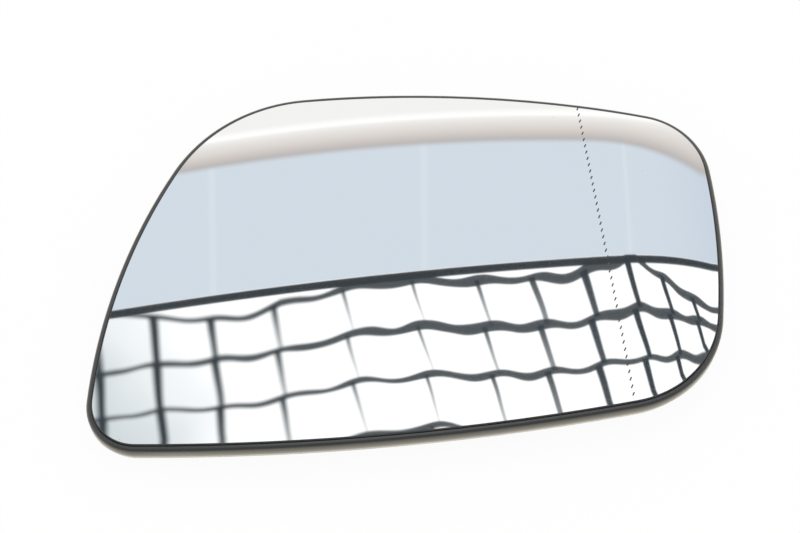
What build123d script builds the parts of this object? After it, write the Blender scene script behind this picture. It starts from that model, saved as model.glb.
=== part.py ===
from build123d import *
import math
import os

# Car door mirror glass, right-hand side, lying on its back: +Z is the way the glass faces, +X points
# outboard, +Y points to the upper edge. The origin is on the pivot axis, at the end of the snap collar.

# Glass outline: virtual corners where the four bowed edges would meet, from the pivot axis
top_inboard_x = -50.0
top_inboard_y = 58.0
top_outboard_x = 87.5
top_outboard_y = 38.5
bottom_outboard_x = 76.0
bottom_outboard_y = -46.5
bottom_inboard_x = -93.5
bottom_inboard_y = -45.5

# How far each edge bows out from the straight line between its corners
top_bow = 6.4
outboard_bow = 4.3
bottom_bow = 6.3
inboard_bow = 9.2

# Roundings of the four corners
top_inboard_radius = 45.0
top_outboard_radius = 19.5
bottom_outboard_radius = 31.0
bottom_inboard_radius = 13.0

# Glass surface: a sphere up to the dashed line, then a curve that tightens to the outboard edge
main_curve_radius = 1400.0
asphere_start = 54.3
edge_curve_radius = 200.0

# Layers, front to back
glass_thickness = 2.0
glass_edge_chamfer = 0.25
adhesive_thickness = 0.5
film_thickness = 0.25
film_bond = 0.1
layer_inset = 2.0
web_thickness = 1.8

# Carrier rim
glass_clearance = 0.25
lip_width = 1.35
lip_drop = 0.6
lip_rounding = 1.1
rim_depth = 7.6
rim_tuck = 1.1
rim_tuck_height = 3.6
rim_edge_chamfer = 0.4
rim_wall = 3.2

# Snap collar, with spring tongues that catch on the adjusting motor
collar_bore_radius = 25.0
collar_wall = 2.2
collar_depth = 9.5
tongue_count = 4
tongue_width = 12.0
tongue_length = 7.0
tongue_slot = 1.2
catch_width = 6.0
catch_height = 2.5
catch_setback = 2.0

# Radial ribs, each with a gusset against the collar
rib_count = 8
rib_thickness = 1.4
gusset_reach = 16.0
gusset_drop = 6.5

# Heater blade terminals and the windows that they pass through
terminal_x = -46.0
terminal_spacing = 16.0
blade_width = 4.8
blade_thickness = 0.8
blade_tip_height = 1.5
blade_tip_chamfer = 1.0
blade_hole_radius = 0.7
blade_hole_height = 4.0
bend_radius = 0.5
foot_length = 6.0
window_clearance = 1.2
window_frame = 1.2

# Rivets through the film and the terminal feet
rivet_setback = 3.6
rivet_shank_radius = 1.0
rivet_head_radius = 1.8
rivet_head_thickness = 0.4
rivet_set_thickness = 0.6
rivet_clearance = 0.4

# Depths below the glass front and heights above the collar end
film_front = glass_thickness + adhesive_thickness
film_back = film_front + film_thickness
terminal_back = film_back + blade_thickness
web_front = film_back + film_bond
web_middle = web_front + web_thickness / 2
web_back = web_front + web_thickness
front_height = web_back + collar_depth

upright = (Align.CENTER, Align.CENTER, Align.MIN)
corners = [
    (top_inboard_x, top_inboard_y),
    (top_outboard_x, top_outboard_y),
    (bottom_outboard_x, bottom_outboard_y),
    (bottom_inboard_x, bottom_inboard_y),
]
bows = [top_bow, outboard_bow, bottom_bow, inboard_bow]
corner_radii = [top_inboard_radius, top_outboard_radius, bottom_outboard_radius, bottom_inboard_radius]


def glass_outline():
    """The glass seen from the front: four bowed edges with rounded corners."""
    edges = [SagittaArc(corners[i - 1], corners[i], bows[i - 1]) for i in range(len(corners))]
    face = make_face(edges)
    for corner, radius in zip(corners, corner_radii):
        face = fillet(face.vertices().sort_by_distance(corner)[0], radius)
    return face


outline = glass_outline()
outline_box = outline.bounding_box()
asphere_width = outline_box.max.X - asphere_start
asphere_rate = (1 / edge_curve_radius - 1 / main_curve_radius) / (6 * asphere_width)


def level(x, depth):
    """Height of the surface that lies a depth behind the glass front, on the middle line."""
    past_line = max(0.0, x - asphere_start)
    sphere = math.sqrt((main_curve_radius - depth) ** 2 - x**2)
    return front_height - main_curve_radius + sphere - asphere_rate * past_line**3


def slope(x, depth):
    past_line = max(0.0, x - asphere_start)
    return -x / math.sqrt((main_curve_radius - depth) ** 2 - x**2) - 3 * asphere_rate * past_line**2


# The stock that each layer is cut from reaches past the outline by the rim and some spare
rim_growth = glass_clearance + lip_width
stock_margin = 2 * rim_growth
stock_inboard = outline_box.min.X - stock_margin
stock_outboard = outline_box.max.X + stock_margin
stock_half_height = max(outline_box.max.Y, -outline_box.min.Y) + stock_margin
stock_sweep = 2 * math.degrees(math.asin(stock_half_height / (main_curve_radius - front_height)))
curve_axis = Axis((0, 0, front_height - main_curve_radius), (1, 0, 0))
asphere_spans = 6


def lengthwise_curve(depth):
    """Section along the length of the surface that lies a depth behind the glass front."""

    def at(x):
        return (x, 0, level(x, depth))

    step = (stock_outboard - asphere_start) / asphere_spans
    stations = [asphere_start + i * step for i in range(asphere_spans + 1)]
    ends = [(1, 0, slope(x, depth)) for x in (stations[0], stations[-1])]
    sphere = ThreePointArc(at(stock_inboard), at((stock_inboard + asphere_start) / 2), at(asphere_start))
    asphere = Spline([at(x) for x in stations], tangents=ends)
    return sphere, asphere


def curved_stock(front, back):
    """Sheet that follows the glass between two depths, wider than the outline."""
    front_sphere, front_asphere = lengthwise_curve(front)
    back_sphere, back_asphere = lengthwise_curve(back)
    inboard_end = Line(front_sphere @ 0, back_sphere @ 0)
    outboard_end = Line(front_asphere @ 1, back_asphere @ 1)
    section = Face(Wire([front_sphere, front_asphere, outboard_end, back_asphere, back_sphere, inboard_end]))
    return revolve(section, curve_axis, stock_sweep).rotate(curve_axis, -stock_sweep / 2)


def grown_arc(arc, growth):
    """An arc of the outline, moved out along its own radius."""
    points = [arc @ share for share in (0, 0.5, 1)]
    return ThreePointArc([point + (point - arc.arc_center).normalized() * growth for point in points])


def grown_outline(growth):
    return make_face([grown_arc(arc, growth) for arc in outline.edges()])


def column(growth):
    """Upright column whose section is the glass outline, grown or shrunk."""
    return extrude(grown_outline(growth), front_height + stock_margin)


def layer(front, back, growth):
    return curved_stock(front, back) & column(growth)


front_side = 1
back_side = -1


def border(sheet, side):
    """Edges around the front or the back of a layer."""
    skin = sheet.faces().filter_by(lambda face: side * face.normal_at().Z > 0.9)
    return skin.edges().filter_by(GeomType.CIRCLE, reverse=True)


def rolled(sheet, radius):
    """Rounds the front border of a layer with three even flats that touch the radius."""
    half_turn = math.radians(90 / 8)
    reach = radius * math.tan(2 * half_turn)
    sheet = chamfer(border(sheet, front_side), radius - reach)
    walls = sheet.faces().filter_by(GeomType.CYLINDER)
    edges = border(sheet, front_side) + [wall.edges().sort_by(Axis.Z)[-1] for wall in walls]
    return chamfer(edges, reach - radius * math.tan(half_turn))


def tucked(sheet, inset, height):
    """Draws the walls of a layer in towards its back."""
    back = sheet.faces().filter_by(lambda face: face.normal_at().Z < -0.9).sort_by(SortBy.AREA)[-1]
    return chamfer(back.edges() & border(sheet, back_side), inset, height, reference=back)


def post(x, y, radius):
    return Pos(x, y, 0) * Cylinder(radius, front_height, align=upright)


# Terminals sit one above the other, inboard of the collar
terminals = {"upper": terminal_spacing / 2, "lower": -terminal_spacing / 2}
rivet_x = terminal_x - rivet_setback

# Ribs start inside the collar wall, midway between the tongues, and run into the rim
rib_root = collar_bore_radius + collar_wall / 2
rib_reach = stock_outboard - stock_inboard
rib_places = PolarLocations(0, rib_count, start_angle=180 / rib_count)


def mirror_glass():
    """One bent glass plate with a ground front edge."""
    plate = layer(0, glass_thickness, 0)
    return chamfer(border(plate, front_side), glass_edge_chamfer)


def adhesive_sheet():
    """Double-sided sheet, punched out around the rivet heads."""
    sheet = layer(glass_thickness, film_front, -layer_inset)
    for y in terminals.values():
        sheet -= post(rivet_x, y, rivet_head_radius + rivet_clearance)
    return sheet


def heater_film():
    """Printed film with a hole for each rivet."""
    film = layer(film_front, film_back, -layer_inset)
    for y in terminals.values():
        film -= post(rivet_x, y, rivet_shank_radius)
    return film


def heater_terminal(y):
    """Stamped strip: a foot flat on the film, bent to a blade that comes out through the window."""
    strip_end = (Align.MAX, Align.CENTER, Align.MIN)
    foot_area = Pos(terminal_x, y, 0) * Box(foot_length, blade_width, front_height, align=strip_end)
    foot = curved_stock(film_back, terminal_back) & foot_area
    blade_area = Pos(terminal_x, y, blade_tip_height) * Box(
        blade_thickness, blade_width, front_height, align=strip_end
    )
    tab = foot + (blade_area & curved_stock(film_back, front_height + stock_margin))
    outer_bend = (terminal_x, y, level(terminal_x, film_back))
    tab = fillet(tab.edges().sort_by_distance(outer_bend)[0], bend_radius + blade_thickness)
    inner_bend = (terminal_x - blade_thickness, y, level(terminal_x, terminal_back))
    tab = fillet(tab.edges().sort_by_distance(inner_bend)[0], bend_radius)
    tip_corners = tab.edges().filter_by(Axis.X).group_by(Axis.Z)[0]
    tab = chamfer(tip_corners, blade_tip_chamfer)
    hole = Rot(Y=90) * Cylinder(blade_hole_radius, 4 * blade_thickness)
    tab -= Pos(terminal_x, y, blade_hole_height) * hole
    return tab - post(rivet_x, y, rivet_shank_radius)


def terminal_rivet(y):
    """Flat head in front of the film, shank through film and foot, set end behind the foot."""
    head = curved_stock(film_front - rivet_head_thickness, film_front) & post(rivet_x, y, rivet_head_radius)
    shank = curved_stock(film_front, terminal_back) & post(rivet_x, y, rivet_shank_radius)
    set_end = curved_stock(terminal_back, terminal_back + rivet_set_thickness)
    set_end &= post(rivet_x, y, rivet_head_radius)
    return head + shank + set_end


def window(y, frame):
    """Plan of the opening around a terminal's foot, with a frame around it."""
    length = foot_length + 2 * (window_clearance + frame)
    width = blade_width + 2 * (window_clearance + frame)
    return Pos(terminal_x - foot_length / 2, y) * Rectangle(length, width)


def recess_plan():
    """Hollows in the back of the carrier: all but the rim, the ribs and the window frames."""
    plan = grown_outline(rim_growth - rim_wall)
    rib = Pos(X=rib_root) * Rectangle(rib_reach, rib_thickness, align=(Align.MIN, Align.CENTER))
    plan -= [place * rib for place in rib_places]
    plan -= [window(y, window_frame) for y in terminals.values()]
    return plan


def tray():
    """Shallow moulding that follows the glass: rounded rim, pocket in front, ribbed recess behind."""
    body = layer(lip_drop, rim_depth, rim_growth)
    body = rolled(body, lip_rounding)
    body = tucked(body, rim_tuck, rim_tuck_height)
    body = chamfer(border(body, back_side), rim_edge_chamfer)
    body -= layer(-stock_margin, web_front, glass_clearance)
    return body - (extrude(recess_plan(), front_height) & curved_stock(web_back, rim_depth + stock_margin))


def snap_collar():
    """Round wall with spring tongues, each slotted free on both sides and pierced by a catch window."""
    collar = Cylinder(collar_bore_radius + collar_wall, front_height, align=upright)
    collar -= Cylinder(collar_bore_radius, front_height, align=upright)
    slot = Box(2 * collar_wall, tongue_slot, tongue_length, align=upright)
    catch = Pos(Z=catch_setback) * Box(2 * collar_wall, catch_width, catch_height, align=upright)
    slot_shift = (tongue_width + tongue_slot) / 2
    cuts = catch + Pos(Y=slot_shift) * slot + Pos(Y=-slot_shift) * slot
    return collar - [place * cuts for place in PolarLocations(rib_root, tongue_count)]


def gusset():
    """Web between the collar and a rib, falling away along the rib."""
    gusset_end = collar_bore_radius + collar_wall + gusset_reach
    side = Polygon(
        (rib_root, collar_depth - gusset_drop), (gusset_end, collar_depth),
        (gusset_end, front_height), (rib_root, front_height), align=None,
    )
    return extrude(Plane.XZ * side, rib_thickness / 2, both=True)


def carrier_plate():
    """Single black moulding: tray, collar and gussets, with the terminal windows cut through."""
    behind_film = curved_stock(web_middle, front_height + stock_margin)
    plate = tray() + (snap_collar() & behind_film)
    plate += [place * gusset() & behind_film for place in rib_places]
    return plate - [extrude(window(y, 0), front_height) for y in terminals.values()]


nodes = {
    "mirror_glass": mirror_glass(),
    "adhesive_sheet": adhesive_sheet(),
    "heater_film": heater_film(),
    "carrier_plate": carrier_plate(),
}
for place, y in terminals.items():
    nodes[f"heater_terminal_{place}"] = heater_terminal(y)
    nodes[f"terminal_rivet_{place}"] = terminal_rivet(y)

os.makedirs("parts", exist_ok=True)
for name, shape in nodes.items():
    export_step(shape, f"parts/{name}.step")
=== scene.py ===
import math

import bmesh
import bpy
from mathutils import Matrix, Quaternion, Vector


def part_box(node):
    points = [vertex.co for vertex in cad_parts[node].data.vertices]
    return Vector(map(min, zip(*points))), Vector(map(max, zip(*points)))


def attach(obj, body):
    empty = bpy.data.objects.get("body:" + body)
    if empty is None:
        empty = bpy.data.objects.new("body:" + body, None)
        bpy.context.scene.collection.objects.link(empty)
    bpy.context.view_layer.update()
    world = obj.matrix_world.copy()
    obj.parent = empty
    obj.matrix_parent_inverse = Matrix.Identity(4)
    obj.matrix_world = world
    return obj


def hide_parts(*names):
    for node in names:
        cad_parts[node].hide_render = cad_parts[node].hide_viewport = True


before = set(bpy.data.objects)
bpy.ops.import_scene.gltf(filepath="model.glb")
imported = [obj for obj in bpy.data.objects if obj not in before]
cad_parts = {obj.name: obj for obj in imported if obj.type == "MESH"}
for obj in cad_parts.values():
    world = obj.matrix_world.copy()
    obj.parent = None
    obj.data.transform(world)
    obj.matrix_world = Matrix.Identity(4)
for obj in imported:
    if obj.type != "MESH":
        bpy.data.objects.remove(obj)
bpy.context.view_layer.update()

# Mirror glass: one bent plate of 2 mm float glass, chromed, with a finely ground edge. The front is a
# sphere up to the dashed line and tightens from there to the outboard end. It is bonded into the
# carrier by a double-sided sheet.

mm = 0.001
glass_corners = [Vector(corner) * mm for corner in ((-50, 58), (87.5, 38.5), (76, -46.5), (-93.5, -45.5))]
edge_bows = [bow * mm for bow in (6.4, 4.3, 6.3, 9.2)]
corner_roundings = [rounding * mm for rounding in (45, 19.5, 31, 13)]
outline_steps = 64
glass_front_height = 14.15 * mm
main_curve_radius = 1400 * mm
edge_curve_radius = 200 * mm
asphere_start = 54.3 * mm
asphere_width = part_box("mirror_glass")[1].x - asphere_start
asphere_rate = (1 / edge_curve_radius - 1 / main_curve_radius) / (6 * asphere_width)
glass_thickness = 2 * mm
ground_edge = 0.25 * mm
plate_rings = 48
plate_points_around = 480
plate_sharp_degrees = 25
weld_gap = 0.001 * mm
chrome_facing = 0.9

clean_chrome = (0.93, 0.945, 0.955)
dusty_chrome = (0.52, 0.51, 0.50)
chrome_roughness = 0.012
haze_roughness = 0.010
dust_roughness = 0.3
dust_radius = 0.035
dust_free_share = 0.93
ground_glass_greens = ((0.030, 0.034, 0.032), (0.060, 0.066, 0.062))
grain_roughness = 0.2


class Link:
    """A socket of a node tree that takes part in sums like a number."""

    def __init__(self, tree, socket=None):
        self.tree = tree
        self.socket = socket

    def node(self, kind, settings=None, inputs=None, out=0):
        """Adds a node: its settings first, then the values or links of its sockets."""
        made = self.tree.nodes.new(kind)
        for name, value in (settings or {}).items():
            if name == "stops":
                ramp = made.color_ramp.elements
                while len(ramp) < len(value):
                    ramp.new(1.0)
                for stop, (place, colour) in zip(ramp, value):
                    stop.position = place
                    stop.color = colour
            else:
                setattr(made, name, value)
        for key, value in (inputs or {}).items():
            if isinstance(value, Link):
                self.tree.links.new(value.socket, made.inputs[key])
            else:
                made.inputs[key].default_value = value
        return Link(self.tree, made.outputs[out])

    def other(self, name):
        """Another output of the same node."""
        return Link(self.tree, self.socket.node.outputs[name])

    def axes(self):
        """The X, Y and Z of a vector."""
        x = self.node("ShaderNodeSeparateXYZ", None, {0: self})
        return x, x.other("Y"), x.other("Z")

    def vector(self, *axes):
        """A vector in the same tree, from its X, Y and Z."""
        return self.node("ShaderNodeCombineXYZ", None, dict(enumerate(axes)))

    def math(self, operation, *values):
        return self.node("ShaderNodeMath", {"operation": operation}, dict(enumerate((self, *values))))

    def __add__(self, value):
        return self.math("ADD", value)

    def __sub__(self, value):
        return self.math("SUBTRACT", value)

    def __rsub__(self, value):
        return self.node("ShaderNodeMath", {"operation": "SUBTRACT"}, {0: value, 1: self})

    def __neg__(self):
        return 0.0 - self

    def __mul__(self, value):
        return self.math("MULTIPLY", value)

    def __truediv__(self, value):
        return self.math("DIVIDE", value)

    def __pow__(self, power):
        return self.math("POWER", power)

    def __abs__(self):
        return self.math("ABSOLUTE")

    def __lt__(self, value):
        return self.math("LESS_THAN", value)

    def __gt__(self, value):
        return self.math("GREATER_THAN", value)

    __radd__ = __add__
    __rmul__ = __mul__


def new_object(name, data):
    made = bpy.data.objects.new(name, data)
    bpy.context.scene.collection.objects.link(made)
    return made


def node_host(name, sizes):
    """An empty mesh with a node tree that has one named input for each size."""
    kinds = {float: "Float", int: "Int", bpy.types.Object: "Object"}
    host = new_object(name, bpy.data.meshes.new(name))
    tree = bpy.data.node_groups.new(name, "GeometryNodeTree")
    tree.interface.new_socket("Geometry", in_out="OUTPUT", socket_type="NodeSocketGeometry")
    sockets = {}
    for size, value in sizes.items():
        kind = f"NodeSocket{kinds[type(value)]}"
        sockets[size] = tree.interface.new_socket(size, in_out="INPUT", socket_type=kind)
    modifier = host.modifiers.new(name, "NODES")
    modifier.node_group = tree
    for size, value in sizes.items():
        modifier[sockets[size].identifier] = value
    entry = tree.nodes.new("NodeGroupInput")
    return host, {size: Link(tree, entry.outputs[size]) for size in sizes}


def realized(geometry):
    return geometry.node("GeometryNodeRealizeInstances", None, {"Geometry": geometry})


def made_of(geometry, material, selection=True):
    inputs = {"Geometry": geometry, "Selection": selection, "Material": material}
    return geometry.node("GeometryNodeSetMaterial", None, inputs)


def plain_mesh(host, geometry):
    """Ends the tree and turns what it makes into the host's own mesh."""
    end = geometry.tree.nodes.new("NodeGroupOutput")
    geometry.tree.links.new(geometry.socket, end.inputs["Geometry"])
    depsgraph = bpy.context.evaluated_depsgraph_get()
    host.data = bpy.data.meshes.new_from_object(host.evaluated_get(depsgraph))
    host.modifiers.clear()


def circle_of_bow(start, end, bow):
    """Centre and radius of the arc that bows to the left of the way from start to end."""
    chord = end - start
    radius = chord.length_squared / (8 * bow) + bow / 2
    to_left = Vector((-chord.y, chord.x)).normalized()
    return (start + end) / 2 + to_left * (bow - radius), radius


def rounding_centre(corner, first, second, rounding):
    """Centre of the corner arc that runs into two bowed edges."""
    (one, one_radius), (two, two_radius) = first, second
    reach_one = one_radius - rounding
    reach_two = two_radius - rounding
    apart = (two - one).length
    along = (reach_one**2 - reach_two**2 + apart**2) / (2 * apart)
    across = math.sqrt(reach_one**2 - along**2)
    way = (two - one).normalized()
    side = Vector((-way.y, way.x)) * across
    foot = one + way * along
    return min((foot + side, foot - side), key=lambda place: (place - corner).length)


def outline_curve():
    """The glass from the front: four bowed edges and four corner arcs, a Bezier point at each join."""
    count = len(glass_corners)
    edge_ends = glass_corners[1:] + glass_corners[:1]
    circles = [circle_of_bow(*edge) for edge in zip(glass_corners, edge_ends, edge_bows)]
    arcs = []
    for i, corner in enumerate(glass_corners):
        before, after = circles[i - 1], circles[i]
        centre = rounding_centre(corner, before, after, corner_roundings[i])
        joins = [mid + (centre - mid).normalized() * radius for mid, radius in (before, after)]
        arcs.append((centre, joins))
    stretches = []
    for i, (centre, (start, end)) in enumerate(arcs):
        next_start = arcs[(i + 1) % count][1][0]
        stretches.append((centre, start, end))
        stretches.append((circles[i][0], end, next_start))
    curve = bpy.data.curves.new("glass_outline", "CURVE")
    curve.dimensions = "3D"
    curve.resolution_u = outline_steps
    spline = curve.splines.new("BEZIER")
    spline.bezier_points.add(len(stretches) - 1)
    spline.use_cyclic_u = True
    for point in spline.bezier_points:
        point.handle_left_type = point.handle_right_type = "FREE"
    for i, (centre, start, end) in enumerate(stretches):
        out_start, out_end = start - centre, end - centre
        handle = 4 / 3 * math.tan(out_start.angle(out_end) / 4)
        point = spline.bezier_points[i]
        following = spline.bezier_points[(i + 1) % len(stretches)]
        point.co = start.to_3d()
        point.handle_right = (start + Vector((out_start.y, -out_start.x)) * handle).to_3d()
        following.handle_left = (end - Vector((out_end.y, -out_end.x)) * handle).to_3d()
    return new_object("glass_outline", curve)


def sag(offset, radius):
    """How far a circle has dropped at an offset from its top."""
    return offset * offset / (radius + (radius * radius - offset * offset).math("SQRT"))


def glass_height(x, y, depth, sizes):
    """Height of the surface that lies a depth behind the glass front."""
    past_line = (x - sizes["Asphere start"]).math("MAXIMUM", 0.0)
    radius = sizes["Main radius"] - depth
    drop = sag(x, radius) + past_line**3.0 * sizes["Asphere rate"]
    return sizes["Front height"] - depth - drop - sag(y, radius - drop)


surface_sizes = {
    "Front height": glass_front_height,
    "Main radius": main_curve_radius,
    "Asphere start": asphere_start,
    "Asphere rate": asphere_rate,
}


def shader_tree(name):
    """A material, its surface shader, and the place on the piece that its patterns start from."""
    material = bpy.data.materials.new(name)
    material.use_nodes = True
    shader = material.node_tree.nodes["Principled BSDF"]
    place = Link(material.node_tree).node("ShaderNodeTexCoord", out="Object")
    return material, shader, place


def feed(shader, **values):
    """Sets plain values on the shader and links what changes over the surface."""
    for name, value in values.items():
        socket = shader.inputs[name.replace("_", " ")]
        if isinstance(value, Link):
            value.tree.links.new(value.socket, socket)
        else:
            socket.default_value = value


def noise(place, scale, detail):
    return place.node("ShaderNodeTexNoise", None, {"Vector": place, "Scale": scale, "Detail": detail})


def blend(share, first, second):
    """Colour that goes from the first to the second with the share. Either may vary by itself."""
    inputs = {"Factor": share}
    for key, colour in ((6, first), (7, second)):
        inputs[key] = colour if isinstance(colour, Link) else (*colour, 1.0)
    return share.node("ShaderNodeMix", {"data_type": "RGBA"}, inputs, out=2)


def bump(height, strength, depth):
    return height.node("ShaderNodeBump", None, {"Height": height, "Strength": strength, "Distance": depth})


def chrome_coat():
    """Polished chrome: a trace of wiping haze, and a few specks of dust that dull it."""
    material, shader, place = shader_tree("mirror_chrome")
    haze = noise(place, scale=38.0, detail=4.0)
    specks = place.node("ShaderNodeTexVoronoi", None, {"Vector": place, "Scale": 260.0})
    lot = specks.other("Color")
    lot = lot.node("ShaderNodeSeparateColor", None, {0: lot})
    dust = (specks < dust_radius) * (lot > dust_free_share)
    feed(
        shader,
        Base_Color=blend(dust, clean_chrome, dusty_chrome),
        Roughness=chrome_roughness + haze * haze_roughness + dust * dust_roughness,
        Metallic=1.0,
    )
    return material


def grained(name, colours, roughness, scale, detail, relief=None, metallic=0.0):
    """A finish with one grain, which shifts its colour, dulls it, and may stand up by a relief."""
    material, shader, place = shader_tree(name)
    grain = noise(place, scale, detail)
    feed(
        shader,
        Base_Color=blend(grain, *colours),
        Roughness=roughness + grain * grain_roughness,
        Metallic=metallic,
    )
    if relief:
        feed(shader, Normal=bump(grain, *relief))
    return material


def ground_glass():
    """Edge of the plate, ground with a fine stone: grey-green glass with a matt grain."""
    return grained("ground_glass_edge", ground_glass_greens, roughness=0.38, scale=5200.0, detail=2.0,
                   relief=(0.15, 0.02 * mm))


outline = outline_curve()
mirror, sizes = node_host("mirror_glass_plate", {
    "Outline": outline,
    "Rings": plate_rings,
    "Points around": plate_points_around,
    "Thickness": glass_thickness,
    "Ground edge": ground_edge,
    **surface_sizes,
})
# Each row of the grid becomes a ring: out from the middle of the front, over the edge, and in again behind.
rings = sizes["Rings"]
last_row = rings * 2.0 + 3.0
grid = rings.node("GeometryNodeMeshGrid", None, {
    "Size X": 1.0,
    "Size Y": 1.0,
    "Vertices X": last_row + 1.0,
    "Vertices Y": sizes["Points around"] + 1.0,
})
across, turn, _ = grid.node("GeometryNodeInputPosition").axes()
row = (across + 0.5) * last_row
behind = row > last_row / 2.0
from_middle = abs(row - last_row / 2.0)
on_wall = from_middle < 1.0
spread = ((last_row / 2.0 - from_middle) / rings).math("MINIMUM", 1.0)
depth = behind * sizes["Thickness"] + on_wall * sizes["Ground edge"] * (1 - behind * 2.0)
inset = (1 - on_wall) * sizes["Ground edge"]
route = grid.node("GeometryNodeObjectInfo", {"transform_space": "RELATIVE"},
                  {"Object": sizes["Outline"]}, out="Geometry")
edge = route.node("GeometryNodeSampleCurve", {"mode": "FACTOR", "use_all_curves": True},
                  {"Curves": route, "Factor": turn + 0.5}, out="Position")
edge_x, edge_y, _ = edge.axes()
tangent_x, tangent_y, _ = edge.other("Tangent").axes()
x = (edge_x + tangent_y * inset) * spread
y = (edge_y - tangent_x * inset) * spread
position = x.vector(x, y, glass_height(x, y, depth, sizes))
plate = grid.node("GeometryNodeSetPosition", None, {"Geometry": grid, "Position": position})
plate = plate.node("GeometryNodeFlipFaces", None, {"Mesh": plate})
plate = plate.node("GeometryNodeMergeByDistance", None, {"Geometry": plate, "Distance": weld_gap})
plate = made_of(realized(plate), chrome_coat())
_, _, facing = plate.node("GeometryNodeInputNormal").axes()
plate = made_of(plate, ground_glass(), abs(facing) < chrome_facing)
plain_mesh(mirror, plate)
bpy.data.objects.remove(outline)
mirror.data.shade_smooth()
mirror.data.set_sharp_from_angle(angle=math.radians(plate_sharp_degrees))
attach(mirror, "root")
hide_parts("mirror_glass")

# Row of dashes: short slanted marks that a laser burns into the chrome. They show where the curve of the
# glass begins to tighten. Each is made as a thin dark bar, sunk into the front until it is nearly flush.

dash_count = 43
dash_first_y = 47.55 * mm
dash_pitch = 2.25 * mm
dash_row_slant = 0.6 * mm
dash_length = 1.2 * mm
dash_width = 0.39 * mm
dash_thickness = 0.03 * mm
dash_proud = 0.008 * mm
dash_lean = math.radians(31)
burnt_greys = ((0.040, 0.046, 0.056), (0.075, 0.082, 0.092))


def burnt_mark():
    return grained("burnt_mark", burnt_greys, roughness=0.45, scale=2600.0, detail=3.0)


dashes, sizes = node_host("dash_row", {
    "Count": dash_count,
    "First": dash_first_y,
    "Pitch": dash_pitch,
    "Slant": dash_row_slant,
    "Length": dash_length,
    "Width": dash_width,
    "Thickness": dash_thickness,
    "Proud": dash_proud,
    "Lean": dash_lean,
    **surface_sizes,
})
count = sizes["Count"]
first = count.vector(sizes["Asphere start"] - sizes["Slant"], sizes["First"])
step = count.vector(sizes["Slant"] / (count - 1), -sizes["Pitch"])
line = count.node("GeometryNodeMeshLine", None, {"Count": count, "Start Location": first, "Offset": step})
x, y, _ = line.node("GeometryNodeInputPosition").axes()
sunk = sizes["Thickness"] / 2.0 - sizes["Proud"]
on_glass = x.vector(x, y, glass_height(x, y, sunk, sizes))
line = line.node("GeometryNodeSetPosition", None, {"Geometry": line, "Position": on_glass})
bar_size = count.vector(sizes["Width"], sizes["Length"], sizes["Thickness"])
bar = count.node("GeometryNodeMeshCube", None, {"Size": bar_size})
lean = count.vector(0.0, 0.0, -sizes["Lean"])
bar = bar.node("GeometryNodeTransform", None, {"Geometry": bar, "Rotation": lean})
spot = line.node("GeometryNodeInputPosition")
curve_centre = spot.vector(0.0, 0.0, sizes["Front height"] - sizes["Main radius"])
outwards = spot.node("ShaderNodeVectorMath", {"operation": "SUBTRACT"}, {0: spot, 1: curve_centre})
upright = spot.node("FunctionNodeAlignRotationToVector", {"axis": "Z"}, {"Vector": outwards})
bars = line.node("GeometryNodeInstanceOnPoints", None, {"Points": line, "Instance": bar, "Rotation": upright})
plain_mesh(dashes, made_of(realized(bars), burnt_mark()))
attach(dashes, "root")

# Adhesive sheet: double-sided foam-free sheet, off-white and matt, that bonds the glass to the film.
# It is die-cut with a hole over each rivet head.

adhesive_whites = ((0.78, 0.76, 0.70), (0.88, 0.87, 0.83))


def joined_copy(node, piece, sharp_degrees):
    """The node's triangles joined into one skin, smooth up to a sharp angle."""
    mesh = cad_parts[node].data.copy()
    mesh.name = piece
    work = bmesh.new()
    work.from_mesh(mesh)
    bmesh.ops.remove_doubles(work, verts=work.verts, dist=weld_gap)
    work.to_mesh(mesh)
    work.free()
    if "custom_normal" in mesh.attributes:
        mesh.attributes.remove(mesh.attributes["custom_normal"])
    mesh.materials.clear()
    mesh.shade_smooth()
    mesh.set_sharp_from_angle(angle=math.radians(sharp_degrees))
    made = new_object(piece, mesh)
    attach(made, "root")
    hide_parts(node)
    return made


def adhesive():
    return grained("adhesive_sheet", adhesive_whites, roughness=0.75, scale=900.0, detail=4.0,
                   relief=(0.3, 0.05 * mm))


bond = joined_copy("adhesive_sheet", "bonding_sheet", sharp_degrees=30)
bond.data.materials.append(adhesive())

# Heater film: thin dark polyester with a printed silver track that runs to and fro across the glass.
# It is glued to the back of the sheet, and shows through the windows of the carrier.

track_pitch = 4.2 * mm
track_share = 0.62
film_brown = (0.030, 0.024, 0.020)
paste_silver = (0.42, 0.41, 0.39)
paste_cover = 0.75
paste_relief = 0.2
film_roughness = 0.28
track_roughness = 0.22
paste_roughness = 0.08


def printed_film():
    material, shader, place = shader_tree("heater_film")
    across, _, _ = place.axes()
    track = (across / track_pitch).math("FRACT") < track_share
    paste = noise(place, scale=3000.0, detail=3.0)
    silver = track * (paste_cover + paste * (1 - paste_cover))
    feed(
        shader,
        Base_Color=blend(silver, film_brown, paste_silver),
        Roughness=film_roughness + track * track_roughness + paste * paste_roughness,
        Normal=bump(track + paste * paste_relief, strength=0.4, depth=0.02 * mm),
    )
    return material


film = joined_copy("heater_film", "printed_film", sharp_degrees=30)
film.data.materials.append(printed_film())

# Carrier plate: one injection moulding in black plastic, with the rolled rim around the glass, the ribbed
# back and the snap collar for the adjusting motor. The tool leaves a fine even grain on it.

plastic_blacks = ((0.015, 0.0138, 0.0126), (0.022, 0.0205, 0.0190))
plastic_roughness = 0.17
flow_roughness = 0.06
tool_grain_roughness = 0.06


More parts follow.
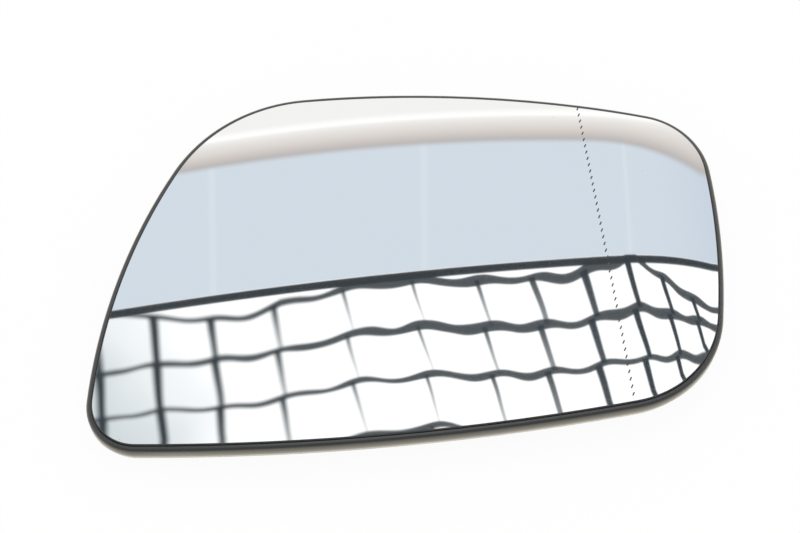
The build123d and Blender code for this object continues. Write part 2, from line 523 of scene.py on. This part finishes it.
def moulded_plastic():
    material, shader, place = shader_tree("black_moulded_plastic")
    flow = noise(place, scale=55.0, detail=3.0)
    grain = noise(place, scale=7000.0, detail=2.0)
    feed(
        shader,
        Base_Color=blend(flow, *plastic_blacks),
        Roughness=plastic_roughness + flow * flow_roughness + grain * tool_grain_roughness,
        Normal=bump(grain, strength=0.12, depth=0.01 * mm),
        IOR=1.6,
        Coat_Weight=0.85,
        Coat_Roughness=0.16,
    )
    return material


carrier = joined_copy("carrier_plate", "carrier_moulding", sharp_degrees=38)
carrier.data.materials.append(moulded_plastic())

# Heater terminals: blades stamped from brass strip and bent square, one above the other. Each is riveted
# by its foot to the film and comes out through a window of the carrier.

bright_brass = (0.80, 0.62, 0.33)
tarnished_brass = (0.62, 0.44, 0.20)
rolling_scale = (9000.0, 9000.0, 350.0)
brass_roughness = 0.2
rolling_roughness = 0.15
tarnish_roughness = 0.1


def stamped_brass():
    material, shader, place = shader_tree("stamped_brass")
    stretched = place.node("ShaderNodeMapping", None, {"Vector": place, "Scale": rolling_scale})
    rolled = noise(stretched, scale=1.0, detail=3.0)
    tarnish = noise(place, scale=420.0, detail=4.0)
    feed(
        shader,
        Base_Color=blend(tarnish, bright_brass, tarnished_brass),
        Roughness=brass_roughness + rolled * rolling_roughness + tarnish * tarnish_roughness,
        Normal=bump(rolled, strength=0.15, depth=0.01 * mm),
        Metallic=1.0,
    )
    return material


brass = stamped_brass()
for which in ("upper", "lower"):
    blade = joined_copy(f"heater_terminal_{which}", f"blade_terminal_{which}", sharp_degrees=35)
    blade.data.materials.append(brass)

# Terminal rivets: small plated steel rivets with a flat head in front of the film. Their set ends show
# behind the feet of the terminals, through the windows.

steel_greys = ((0.62, 0.62, 0.61), (0.74, 0.74, 0.73))


def plated_steel():
    return grained("plated_steel", steel_greys, roughness=0.25, scale=2400.0, detail=3.0,
                   relief=(0.2, 0.02 * mm), metallic=1.0)


steel = plated_steel()
for which in ("upper", "lower"):
    rivet = joined_copy(f"terminal_rivet_{which}", f"set_rivet_{which}", sharp_degrees=35)
    rivet.data.materials.append(steel)

# Studio: a white table in even white light, with sizes in metres. Where they are mirrored, the table looks
# cream, and the light turns pale blue overhead and dim on the near side.

floor_half = 3.0
floor_glow_share = 0.94
table_white = (0.97, 0.97, 0.97, 1.0)
light_white = (1.0, 1.0, 1.0)
mirrored_cream = (1.0, 0.945, 0.82)
overhead_blue = (0.69, 0.75, 0.81)
overhead_span = (0.02, 0.45)
near_side_grey = (0.1, 0.1, 0.1)
near_side_span = (0.0, 0.6)
near_side_share = 0.6


def stage_panel(name, place, half_width, low, high):
    """A flat sheet that is not part of the object."""
    corners = [(-half_width, low, 0), (half_width, low, 0), (half_width, high, 0), (-half_width, high, 0)]
    mesh = bpy.data.meshes.new(name)
    mesh.from_pydata(corners, [], [range(len(corners))])
    panel = new_object(name, mesh)
    panel.matrix_world = place
    return panel


def smooth_step(value, low, high):
    inputs = {"Value": value, "From Min": low, "From Max": high}
    return value.node("ShaderNodeMapRange", {"interpolation_type": "SMOOTHSTEP"}, inputs)


def mirrored(start):
    """One for rays that come off a shiny surface or through glass, nought for all others."""
    path = start.node("ShaderNodeLightPath", out="Is Glossy Ray")
    return path.math("MAXIMUM", path.other("Is Transmission Ray"))


floor = stage_panel("floor", Matrix(), floor_half, -floor_half, floor_half)
material, shader, start = shader_tree("white_table")
feed(shader, Base_Color=table_white, Roughness=0.9, Specular_IOR_Level=0.0)
tint = blend(mirrored(start), light_white, mirrored_cream)
glow = start.node("ShaderNodeEmission", None, {"Color": tint, "Strength": 1.0})
matt = Link(start.tree, shader.outputs["BSDF"])
seen = start.node("ShaderNodeLightPath", out="Is Camera Ray").math("MAXIMUM", mirrored(start))
table = start.node("ShaderNodeMixShader", None, {0: seen * floor_glow_share, 1: matt, 2: glow})
start.tree.links.new(table.socket, start.tree.nodes["Material Output"].inputs["Surface"])
floor.data.materials.append(material)

world = bpy.data.worlds.new("studio")
bpy.context.scene.world = world
world.use_nodes = True
direction = Link(world.node_tree).node("ShaderNodeTexCoord", out="Generated")
_, northwards, upwards = direction.axes()
overhead = smooth_step(upwards, *overhead_span) * mirrored(direction)
light = blend(overhead, light_white, overhead_blue)
near_side = smooth_step(-northwards, *near_side_span) * mirrored(direction) * near_side_share
light = blend(near_side, light, near_side_grey)
background = world.node_tree.nodes["Background"]
feed(background, Color=light, Strength=1.0)

# Ceiling: what the upper part of the glass shows in the main view, for mirrored rays only. Pale blue boards
# end at a cream beam with painted shade along its lower edge and a painted highlight streak, and the wall
# above the beam turns grey-blue. Sizes in metres; a span goes from where a change begins to where it is
# complete.

ceiling_middle = Vector((0.0523, 0.5596, 1.0691))
sight = Vector((0.0479, 0.4741, 0.8792)).normalized()
across_sight = Vector((sight.y, -sight.x, 0)).normalized()
up_sight = sight.cross(across_sight)
ceiling_half_width = 2.4
ceiling_low = -0.6
ceiling_high = 1.2
board_width = 0.288
board_joint_at = 0.0331
board_joint_span = (0.001, 0.008)
board_far_span = (0.3, 0.8)
joint_blue = (0.73, 0.79, 0.85)
board_blue = (0.69, 0.755, 0.823)
far_board_blue = (0.585, 0.66, 0.76)
beam_height = 0.2215
beam_tilt = 0.078
beam_sag = 0.05
beam_edge_span = (-0.008, 0.003)
beam_widening = 0.45
beam_widening_span = (0.25, 0.6)
beam_painted_shading_depth = 0.1
# Painted shade and a painted highlight streak across the beam, going up from its lower edge.
beam_painted_shading = [
    (0.00, (0.52, 0.49, 0.465, 1.0)),
    (0.07, (0.63, 0.58, 0.555, 1.0)),
    (0.17, (0.76, 0.70, 0.66, 1.0)),
    (0.27, (0.84, 0.80, 0.765, 1.0)),
    (0.35, (0.94, 0.91, 0.88, 1.0)),
    (0.40, (1.12, 1.10, 1.07, 1.0)),
    (0.50, (0.965, 0.945, 0.92, 1.0)),
]
wall_span = (0.12, 0.5)
wall_grey = (0.55, 0.61, 0.67)


def lit_panel(name, half_width, low, high, turn=0.0, forward=0.0, height=0.0):
    """A panel square to the line of sight that glows, for mirrored rays only."""
    place = Matrix((across_sight, up_sight, sight)).transposed().to_4x4()
    place.translation = ceiling_middle + up_sight * height - sight * forward
    panel = stage_panel(name, place @ Matrix.Rotation(turn, 4, "Z"), half_width, low, high)
    for rays in ("camera", "diffuse", "transmission", "volume_scatter", "shadow"):
        setattr(panel, f"visible_{rays}", False)
    material, shader, place = shader_tree(name)
    panel.data.materials.append(material)
    feed(shader, Base_Color=(0.0, 0.0, 0.0, 1.0), Specular_IOR_Level=0.0, Emission_Strength=1.0)
    return shader, place


def from_line(count, spacing):
    """Distance from the nearest of the evenly spaced lines at whole counts."""
    return abs((count + 0.5).math("FRACT") - 0.5) * spacing


shader, place = lit_panel("ceiling", ceiling_half_width, ceiling_low, ceiling_high)
along, up, _ = place.axes()
joint = from_line((along - board_joint_at) / board_width, board_width)
boards = blend(smooth_step(joint, *board_joint_span), joint_blue, board_blue)
boards = blend(smooth_step(along, *board_far_span), boards, far_board_blue)
above = up - beam_height - along * beam_tilt + along * along * beam_sag
above = above * (1 - smooth_step(along, *beam_widening_span) * beam_widening)
# The beam's painted shade and painted highlight, by height above its lower edge.
beam = above.node("ShaderNodeValToRGB", {"stops": beam_painted_shading}, {0: above / beam_painted_shading_depth})
ceiling = blend(smooth_step(above, *beam_edge_span), boards, beam)
ceiling = blend(smooth_step(above, *wall_span), ceiling, wall_grey)
feed(shader, Emission_Color=ceiling)

# Softbox: what the lower part of the glass shows, for mirrored rays only. A white lamp cloth hangs under a
# slightly bent dark frame, and in front of it a slack grid of dark cloth strips. Sizes in metres, along the
# frame and up from it, but lean, hang, tie, dip and the ripple of a column are shares of a cell.

softbox_half_width = 1.6
softbox_low = -0.8
softbox_high = 0.04
softbox_turn = math.radians(6.7)
softbox_forward = 0.002
softbox_top = 0.022
frame_rise = 0.003
frame_bend = 0.039
frame_bend_middle = 0.15
frame_edge_span = (0.005, 0.007)
frame_upper_edge = 0.007
frame_grey = (0.045, 0.053, 0.06)

column_spacing = 0.0808
column_start = -0.4227
column_fan = 0.21
column_fan_middle = -0.02
column_slack = 0.0225
column_slack_from = -0.26
column_slack_length = 0.726
column_lean = 0.14
column_ripple = 0.12
column_taper = 0.0015
column_widening = 0.0045
column_widening_span = (0.03, 0.32)
column_fading = 0.75
column_edge_span = (0.0005, 0.0035)
column_grey = (0.045, 0.056, 0.066)

row_spacing = 0.069
row_start = -0.0155
row_wave = 0.0075
row_wave_length = 0.42
row_wave_turn = 0.4
row_swag = 0.003
row_swag_turn = 1.0
row_swag_span = (-0.36, -0.2)
row_ripple = 0.016
fall_depth = 0.15
fall_span = (0.32, 0.56)
fall_reach = 0.1
fall_widening = 0.5
knot_lift = 0.012
knot_at = 0.3
knot_span = (0.02, 0.09)
lowest_hang = 0.12
lowest_hang_span = (2.2, 3.1)
first_row_span = (-0.6, -0.3)
first_row_tie = 0.13
first_row_tie_at = -0.325
first_row_tie_length = 0.32
end_dip = 0.12
end_dip_span = (-0.4, -0.345)
row_width = 0.004
row_width_pulled = 0.005
row_width_end = 0.005
row_width_end_span = (0.3, 0.5)
row_fullness = 1.3
row_fullness_least = 0.7
row_fullness_loss = 0.45
fullest_row = -0.7
row_edge_span = (0.0005, 0.0025)
row_upper_edge = 0.4
row_grey = (0.09, 0.10, 0.108)

pulled_span = (-0.4, 0.1)
loose_softness = 0.004
lamp_span = (-0.54, -0.28)
lamp_lean = 0.5
lamp_lean_lowest = -0.18
lamp_ripple = 0.1
lamp_dim = (0.68, 0.735, 0.755)
lamp_white = (1.14, 1.14, 1.14)


def between(value, low, high):
    return value.math("MAXIMUM", low).math("MINIMUM", high)


shader, place = lit_panel("softbox", softbox_half_width, softbox_low, softbox_high,
                          softbox_turn, softbox_forward, softbox_top)
along, up, _ = place.axes()
from_bend = along - frame_bend_middle
height = up + frame_rise - from_bend * from_bend * frame_bend
ripple = noise(place, scale=9.0, detail=1.0) - 0.5
fold = noise(place, scale=14.0, detail=1.0)
pulled = smooth_step(along, *pulled_span)
soft = (1 - pulled) * loose_softness

slack_turn = between((along - column_slack_from) / column_slack_length, 0.0, 1.0) * math.tau
from_fan = along - column_fan_middle
fanned = along + from_fan * height * column_fan
columns = (fanned - (1 - slack_turn.math("COSINE")) * column_slack - column_start) / column_spacing

wave = (along * (math.tau / row_wave_length) + row_wave_turn).math("COSINE") * row_wave
swag = (columns * math.tau + row_swag_turn).math("SINE") * smooth_step(along, *row_swag_span) * row_swag
fall = smooth_step(along, *fall_span)
knot = 1 - smooth_step(abs(along - knot_at), *knot_span)
near_frame = (1 + height / fall_reach).math("MAXIMUM", 0.0)
fallen = (fall * fall_depth - knot * knot_lift) * near_frame
rows = (height - row_start - wave - swag - ripple * row_ripple + fallen) / row_spacing
rows = rows + smooth_step(-rows, *lowest_hang_span) * lowest_hang
first_row = smooth_step(rows, *first_row_span)
tie_turn = (along - first_row_tie_at) * (math.tau / first_row_tie_length)
tie = between(tie_turn, -math.pi / 2, math.pi).math("SINE") * first_row_tie
dip = (1 - smooth_step(along, *end_dip_span)) * end_dip
rows = rows + dip + first_row * (tie - dip)

down = 1 - rows.math("FRACT")
leaning = columns - (down - 0.5) * pulled * column_lean + ripple * column_ripple
aside = smooth_step(abs(from_fan), *column_widening_span)
beside_column = from_line(leaning, column_spacing) + down * column_taper - aside * column_widening
column_gap = smooth_step(beside_column, column_edge_span[0] - soft, column_edge_span[1] + soft)
column_gap = 1 - (1 - column_gap) * (1 - down * (1 - aside) * column_fading)
column_gap = column_gap.math("MAXIMUM", rows > 0.0)

thick_end = smooth_step(along, *row_width_end_span)
width = row_width + pulled * row_width_pulled + thick_end * row_width_end
fullness = (row_fullness - abs(rows - fullest_row) * row_fullness_loss).math("MAXIMUM", row_fullness_least)
beside_row = from_line(rows, row_spacing) * (1 - fall * fall_widening) - fold * width * fullness
row_gap = smooth_step(beside_row, row_edge_span[0] - soft, row_edge_span[1] + soft)
row_gap = row_gap.math("MAXIMUM", rows > row_upper_edge)

frame_gap = smooth_step(abs(height), *frame_edge_span)
lit = along + height.math("MAXIMUM", lamp_lean_lowest) * lamp_lean + ripple * lamp_ripple
cloth = blend(smooth_step(lit, *lamp_span), lamp_dim, lamp_white)
for gap, grey in ((row_gap, row_grey), (column_gap, column_grey), (frame_gap, frame_grey)):
    cloth = blend(gap, grey, cloth)
feed(shader, Emission_Color=cloth, Alpha=height < frame_upper_edge)

# Camera: a long lens half a metre away and 60 degrees above the table, a little to the inboard side. It looks
# at the middle of the glass front and is rolled by a trace.

camera_target = Vector((-4.59 * mm, -1.74 * mm, glass_front_height))
camera_distance = 511.8 * mm
camera_elevation = math.radians(60)
camera_yaw = math.radians(6.4)
camera_roll = math.radians(0.345)
camera = new_object("camera", bpy.data.cameras.new("camera"))
camera.data.lens = 82
camera.data.sensor_width = 36
camera.data.sensor_fit = "HORIZONTAL"
camera.data.clip_start = 10 * mm
towards = Vector((
    -math.sin(camera_yaw) * math.cos(camera_elevation),
    -math.cos(camera_yaw) * math.cos(camera_elevation),
    math.sin(camera_elevation),
))
camera.location = camera_target + towards * camera_distance
camera.rotation_euler = (towards.to_track_quat("Z", "Y") @ Quaternion((0, 0, 1), camera_roll)).to_euler()
bpy.context.scene.camera = camera
bpy.context.scene.view_settings.view_transform = "Standard"
